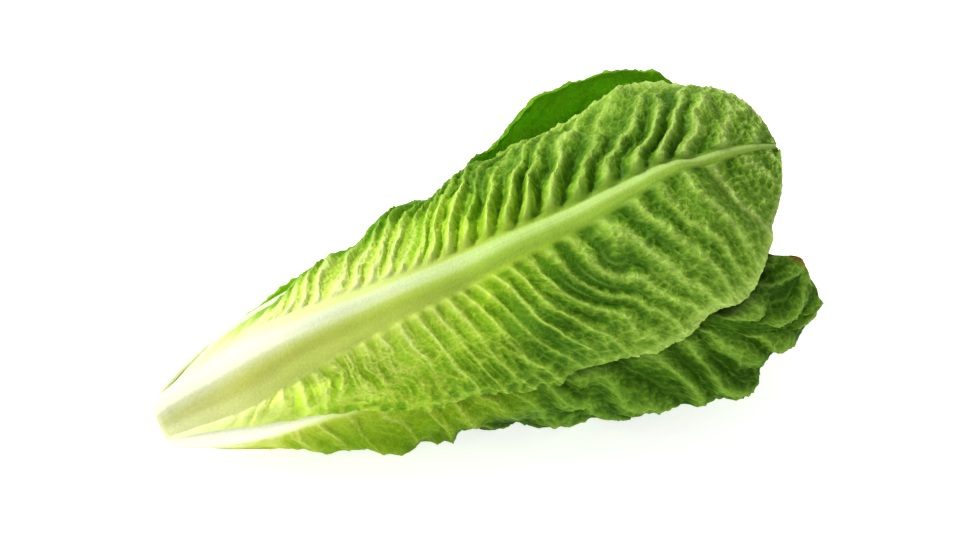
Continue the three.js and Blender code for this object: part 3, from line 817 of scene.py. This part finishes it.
def build_leaf(leaf, material):
    rows, half_columns = OUTER_MESH[leaf["number"]] if leaf["outer"] else HEART_MESH
    blade_columns = half_columns - RIB_COLUMNS
    columns = 2 * half_columns
    shares = np.concatenate([np.linspace(0, RIB_SHARE, RIB_COLUMNS + 1)[:-1],
                             np.linspace(RIB_SHARE, 1, blade_columns + 1)])
    across = np.concatenate([-shares[:0:-1], shares])
    s, across = np.meshgrid(np.linspace(0, TIP_SHARE, rows + 1), across, indexing="ij")
    at = place(leaf, leaf["covered"], s, crinkled(leaf, s, across))
    covered_share = rise(0.3, 0.9, sample(leaf["above"], at["angle"], at["u"]))
    height, marks = fine_relief(leaf, at, covered_share)
    marks["shaded"] = sample(pooled(leaf["above"], 3, 3, np.mean), at["angle"], at["u"])
    smooth = at["inner"] - relief(leaf, at)
    thick = soft_rib(leaf, at) if leaf["number"] == FRONT else thickness(leaf, at)
    if leaf["number"] == LOWEST:
        thick = thick - 0.7 * np.maximum(thick - BLADE, 0) * rise(0.4, 0.6, s)
    outer_r = smooth + height + thick
    fine_blade = EDGE_THICK + (BLADE_THICK - EDGE_THICK) * (1 - rise(0.6, 1, at["blade"]))
    inner_r = lowest_near(outer_r) - np.minimum(thick, fine_blade + np.maximum(thick - BLADE, 0))
    outer = head_point(at["angle"], at["u"], outer_r)
    inner = head_point(at["angle"], at["u"], inner_r)
    lift = np.maximum(FLOOR_CLEAR - np.minimum(outer[..., 2], inner[..., 2]), 0)
    outer[..., 2] += lift
    inner[..., 2] += lift

    points = both_faces(outer, inner)
    outer_quads, inner_quads, wall = leaf_faces(rows, columns)
    if signed_volume(points, np.concatenate([outer_quads, inner_quads])) < 0:
        outer_quads, inner_quads, wall = outer_quads[:, ::-1], inner_quads[:, ::-1], wall[:, ::-1]

    netted = rise(0.02, 0.2, at["blade"]) * rise(0.12, 0.4, at["s"])
    coords = np.stack([at["q"], at["along"] + PATTERN_STEP * leaf["number"], netted], -1)
    down, right = np.linspace(0.01, 0.99, rows + 1), np.linspace(0.01, 0.48, columns + 1)
    v, u = np.meshgrid(down, right, indexing="ij")
    flat_map = np.stack([u, v], -1)
    return make_piece(leaf["name"] + "_skin", leaf["name"], points, [outer_quads, inner_quads, wall],
                      both_faces(*leaf_colours(leaf, at, marks)), both_faces(coords, coords), material,
                      both_faces(flat_map, flat_map + [0.51, 0]))


# Rings on the cut face and along the core's side, and points round each ring.
CUT_RINGS = 26
CORE_RINGS = 60
CORE_SIDES = 120

CORE_SEED = SEED + 977
CUT_ROUGHNESS = 0.28
VESSEL_RING = 0.62
VESSEL_RING_WIDTH = 0.07


def build_core(material):
    """The stem's core, with its cut face."""
    turn = 360 * np.arange(CORE_SIDES) / CORE_SIDES
    face = (np.arange(1, CUT_RINGS + 1) / CUT_RINGS)[:, None] * CORE[0][1] + 0 * turn
    steps = (np.arange(1, CORE_RINGS + 1) / CORE_RINGS * CORE_END)[:, None] + 0 * turn
    u = np.concatenate([0 * face, steps])
    r = np.concatenate([face, curve(CORE, steps)])
    angle = np.broadcast_to(turn, u.shape)
    x, y = r * np.cos(np.radians(angle)), r * np.sin(np.radians(angle))
    on_cut = 1 - rise(0, 1.5, u)
    rough = noise(x / 1.1, y / 1.1, CORE_SEED) - 0.5
    rough = rough + 0.7 * (noise(y / 4.2, 0.3 + x / 0.5, CORE_SEED + 1) - 0.5)
    points = head_point(angle, u + CUT_ROUGHNESS * on_cut * rough * rise(0, 1, r), r).reshape(-1, 3)
    ends = head_point(np.zeros(2), np.array([0.0, CORE_END + 1]), np.zeros(2))
    points = np.concatenate([points, ends])
    rings = CUT_RINGS + CORE_RINGS
    i, j = np.meshgrid(np.arange(rings - 1), np.arange(CORE_SIDES), indexing="ij")
    a, b = i * CORE_SIDES + j, i * CORE_SIDES + (j + 1) % CORE_SIDES
    quads = np.stack([a, b, b + CORE_SIDES, a + CORE_SIDES], -1).reshape(-1, 4)
    first, last = np.arange(CORE_SIDES), (rings - 1) * CORE_SIDES + np.arange(CORE_SIDES)
    near = np.stack([np.roll(first, -1), first, np.full(CORE_SIDES, len(points) - 2)], -1)
    far = np.stack([last, np.roll(last, -1), np.full(CORE_SIDES, len(points) - 1)], -1)
    if signed_volume(points, quads) < 0:
        quads, near, far = quads[:, ::-1], near[:, ::-1], far[:, ::-1]
    from_middle = r / CORE[0][1]
    ring = ramp(CUT, from_middle)
    vessel = np.exp(-((from_middle - VESSEL_RING) / VESSEL_RING_WIDTH) ** 2)
    vessel = vessel * (noise(angle / 11, r * 0, CORE_SEED + 2) > 0.42)
    shade = mixed(ring, ring * VESSEL_FILTER, vessel * on_cut)
    shade = mixed(shade, ramp(CUT, 0.3), 1 - on_cut)
    shade = scaled(shade, 0.95 + 0.05 * noise(x / 0.7, y / 0.7, CORE_SEED + 3))
    shade = np.concatenate([shade.reshape(-1, 3), ramp(CUT, np.array([0.2, 0.2]))])
    coords = np.concatenate([np.stack([x, y, 0 * x], -1).reshape(-1, 3), np.zeros((2, 3))])
    v = (np.arange(rings) + 1)[:, None] / (rings + 2) + 0 * turn
    w = 0.01 + 0.97 * (turn / 360)[None, :] + 0 * v
    flat_map = np.concatenate([np.stack([w, v], -1).reshape(-1, 2), [[0.5, 0.005], [0.5, 0.995]]])
    return make_piece("stem_core_cut", "stem_core", points, [quads, near, far], shade, coords,
                      material, flat_map)


# ---- Materials -----------------------------------------------------------------------------------

# The skin's patterns, in cells for each millimetre: the fine net, its bends and the grain.
NET_SCALE = 0.3
BEND_SCALE = 0.35
GRAIN_SCALE = 0.9
GRAIN_DETAIL = 3

# How far the net bends in millimetres, how wide its lines are, and the shades of its lines and cells.
BEND = (3, 3, 0)
NET_LINE = 0.28
NET_SHADES = (1.12, 0.92)
GRAIN_SHADES = (0.88, 1.12)

# How far light runs inside a leaf and how deep the bump is, in metres.
GLOW_COLOUR = (0.7, 1.0, 0.4)
GLOW_REACH = 0.0025
BUMP_DEPTH = 0.0004

# How far the grain takes the roughness down and up.
SATIN_SPREAD = (-0.08, 0.1)


def skin_material(name, roughness, net, bump, glow, shine):
    """A satin leaf skin: the tints of the mesh, a finer net of veins, and a little light through it."""
    material = bpy.data.materials.new(name)
    material.use_nodes = True
    tree = material.node_tree
    tree.nodes.clear()
    link = tree.links.new

    def node(kind, **values):
        made = tree.nodes.new(kind)
        for key, value in values.items():
            setattr(made, key, value)
        return made

    def mapped(value, low, high, full=1, steps="LINEAR"):
        """Maps the value, which runs from 0 to full, to the range from low to high."""
        made = node("ShaderNodeMapRange", interpolation_type=steps)
        made.inputs["From Max"].default_value = full
        made.inputs["To Min"].default_value = low
        made.inputs["To Max"].default_value = high
        link(value, made.inputs["Value"])
        return made.outputs["Result"]

    def product(a, b):
        made = node("ShaderNodeMath", operation="MULTIPLY")
        link(a, made.inputs[0])
        link(b, made.inputs[1])
        return made.outputs["Value"]

    out = node("ShaderNodeOutputMaterial")
    skin = node("ShaderNodeBsdfPrincipled")
    skin.inputs["Specular IOR Level"].default_value = shine
    skin.inputs["Subsurface Weight"].default_value = glow
    skin.inputs["Subsurface Radius"].default_value = GLOW_COLOUR
    skin.inputs["Subsurface Scale"].default_value = GLOW_REACH
    link(skin.outputs["BSDF"], out.inputs["Surface"])
    tint = node("ShaderNodeAttribute", attribute_name="tint")
    place_mm = node("ShaderNodeAttribute", attribute_name="leaf_place")
    split = node("ShaderNodeSeparateXYZ")
    link(place_mm.outputs["Vector"], split.inputs["Vector"])

    # A bent net whose cells sink between its lines, where the third value of the place lets it show.
    bends = node("ShaderNodeTexNoise", noise_dimensions="2D")
    bends.inputs["Scale"].default_value = BEND_SCALE
    link(place_mm.outputs["Vector"], bends.inputs["Vector"])
    bent = node("ShaderNodeVectorMath", operation="MULTIPLY_ADD")
    bent.inputs[1].default_value = BEND
    link(bends.outputs["Color"], bent.inputs[0])
    link(place_mm.outputs["Vector"], bent.inputs[2])
    cell = node("ShaderNodeTexVoronoi", voronoi_dimensions="2D", feature="DISTANCE_TO_EDGE")
    cell.inputs["Scale"].default_value = NET_SCALE
    link(bent.outputs["Vector"], cell.inputs["Vector"])
    sunk = product(mapped(cell.outputs["Distance"], 0, 1, full=NET_LINE, steps="SMOOTHSTEP"),
                   mapped(split.outputs["Z"], 0, net, steps="SMOOTHSTEP"))

    grain = node("ShaderNodeTexNoise", noise_dimensions="2D")
    grain.inputs["Scale"].default_value = GRAIN_SCALE
    grain.inputs["Detail"].default_value = GRAIN_DETAIL
    link(place_mm.outputs["Vector"], grain.inputs["Vector"])

    colour = node("ShaderNodeVectorMath", operation="SCALE")
    link(tint.outputs["Color"], colour.inputs[0])
    shade = product(mapped(sunk, *NET_SHADES), mapped(grain.outputs["Fac"], *GRAIN_SHADES))
    link(shade, colour.inputs["Scale"])
    link(colour.outputs["Vector"], skin.inputs["Base Color"])
    satin = mapped(grain.outputs["Fac"], roughness + SATIN_SPREAD[0], roughness + SATIN_SPREAD[1])
    link(satin, skin.inputs["Roughness"])

    height = node("ShaderNodeMath", operation="MULTIPLY_ADD")
    height.inputs[1].default_value = -1.0
    link(sunk, height.inputs[0])
    link(grain.outputs["Fac"], height.inputs[2])
    raised = node("ShaderNodeBump")
    raised.inputs["Strength"].default_value = bump
    raised.inputs["Distance"].default_value = BUMP_DEPTH
    link(height.outputs["Value"], raised.inputs["Height"])
    link(raised.outputs["Normal"], skin.inputs["Normal"])
    return material


# ---- The scene, in metres ------------------------------------------------------------------------

CAMERA_AZIMUTH = math.radians(-21)
CAMERA_ELEVATION = math.radians(28)
CAMERA_DISTANCE = 1.15
CAMERA_AIM = (0.002, -0.001, 0.07)
CAMERA_LENS = 97
SENSOR = 36
FLOOR_HALF = 30.0
FLOOR_DROP = 0.0002
FLOOR_GREY = 0.75
FLOOR_GLOW = 0.75
SKY_STRENGTH = 0.45


def aimed(obj, place_at, aim):
    """Puts obj at a place with its -Z axis on the aim."""
    towards = Vector([aim[k] - place_at[k] for k in range(3)])
    obj.location = place_at
    obj.rotation_euler = towards.to_track_quat("-Z", "Y").to_euler()


def soft_light(name, place_at, size, power):
    data = bpy.data.lights.new(name, "AREA")
    data.shape = "DISK"
    data.size = size
    data.energy = power
    light = bpy.data.objects.new(name, data)
    bpy.context.collection.objects.link(light)
    aimed(light, place_at, CAMERA_AIM)


def build_stage():
    floor_mesh = bpy.data.meshes.new("floor")
    corners = [(x * FLOOR_HALF, y * FLOOR_HALF, 0) for x, y in ((-1, -1), (1, -1), (1, 1), (-1, 1))]
    floor_mesh.from_pydata(corners, [], [(0, 1, 2, 3)])
    paper = bpy.data.materials.new("pale_floor")
    paper.use_nodes = True
    shader = paper.node_tree.nodes["Principled BSDF"]
    shader.inputs["Base Color"].default_value = (FLOOR_GREY, FLOOR_GREY, FLOOR_GREY, 1)
    shader.inputs["Roughness"].default_value = 0.9
    shader.inputs["Specular IOR Level"].default_value = 0.1
    shader.inputs["Emission Color"].default_value = (1, 1, 1, 1)
    shader.inputs["Emission Strength"].default_value = FLOOR_GLOW
    floor_mesh.materials.append(paper)
    floor = bpy.data.objects.new("floor", floor_mesh)
    floor.location.z = -FLOOR_DROP
    bpy.context.collection.objects.link(floor)

    world = bpy.data.worlds.new("studio")
    world.use_nodes = True
    background = world.node_tree.nodes["Background"]
    background.inputs["Color"].default_value = (1, 1, 1, 1)
    background.inputs["Strength"].default_value = SKY_STRENGTH
    bpy.context.scene.world = world
    soft_light("key", (-0.8, 0.4, 1.1), size=0.4, power=20)
    soft_light("fill", (-0.5, -1.3, 0.7), size=1.0, power=3)
    bpy.context.scene.view_settings.view_transform = "Standard"

    camera_data = bpy.data.cameras.new("camera")
    camera_data.lens = CAMERA_LENS
    camera_data.sensor_width = SENSOR
    camera = bpy.data.objects.new("camera", camera_data)
    bpy.context.collection.objects.link(camera)
    away = (math.sin(CAMERA_AZIMUTH) * math.cos(CAMERA_ELEVATION),
            -math.cos(CAMERA_AZIMUTH) * math.cos(CAMERA_ELEVATION), math.sin(CAMERA_ELEVATION))
    aimed(camera, [CAMERA_AIM[k] + CAMERA_DISTANCE * away[k] for k in range(3)], CAMERA_AIM)
    bpy.context.scene.camera = camera


leaf_skin = skin_material("leaf_skin", roughness=0.55, net=1.0, bump=0.6, glow=0.03, shine=0.03)
heart_skin = skin_material("heart_skin", roughness=0.44, net=0.4, bump=0.35, glow=0.12, shine=0.15)
cut_skin = skin_material("cut_stem", roughness=0.6, net=0.0, bump=0.3, glow=0.1, shine=0.15)
own_skins = {
    FRONT: skin_material("first_leaf_skin", roughness=0.5, net=1.0, bump=0.6, glow=0.03, shine=0.1),
    BACK: skin_material("back_leaf_skin", roughness=0.55, net=0.5, bump=0.6, glow=0.3, shine=0.04),
}
for leaf in LEAVES:
    build_leaf(leaf, own_skins.get(leaf["number"], leaf_skin if leaf["outer"] else heart_skin))
build_core(cut_skin)
build_stage()
